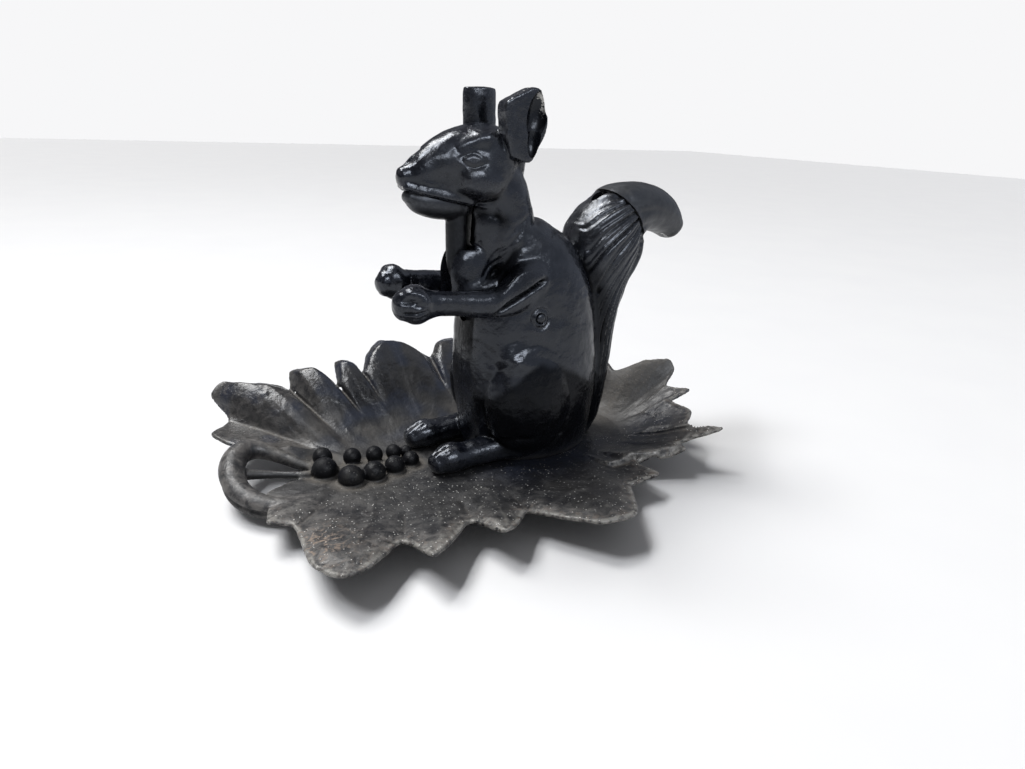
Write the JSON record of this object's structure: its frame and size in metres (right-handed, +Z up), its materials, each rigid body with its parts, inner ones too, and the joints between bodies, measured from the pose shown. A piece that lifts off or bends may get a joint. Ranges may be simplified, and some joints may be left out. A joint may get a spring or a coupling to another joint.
{
  "type": "squirrel nutcracker on a leaf dish",
  "caption": "Cast squirrel standing on a leaf-shaped dish; lifting the tip of its tail swings a lever inside the body and lowers the jaw, which cracks a nut when pushed back down.",
  "frame": {"origin": "centre of the base of the middle foot, on the table, under the middle of the squirrel, in the plane where its two halves meet", "axes": "+X from the nose to the tail, along the leaf; +Z up; the squirrel's left side is at -Y"},
  "size_m": [0.2725, 0.2016, 0.1989],
  "materials": {
    "black_paint": "glossy black enamel over cast iron, worn to bare metal at rims",
    "worn_iron": "old dark paint, worn and dusty, semi-gloss",
    "steel": "plain turned steel, darkened"
  },
  "bodies": {
    "stand": {"body_left_half": "black_paint", "body_right_half": "black_paint", "leaf_tray": "worn_iron", "pivot_pin": "steel", "neck_screw": "steel", "seat_screw": "steel", "tail_screw": "steel", "tray_screw_left": "steel", "tray_screw_right": "steel", "tray_washer_left": "steel", "tray_washer_right": "steel"},
    "lever": {"jaw_lever": "black_paint"}
  },
  "joints": [
    {"name": "tail_lift", "type": "hinge", "parent": "stand", "child": "lever", "pos_m": [0.0073, 0, 0.091], "axis": [0, -1, 0], "range_deg": [0, 20]}
  ]
}
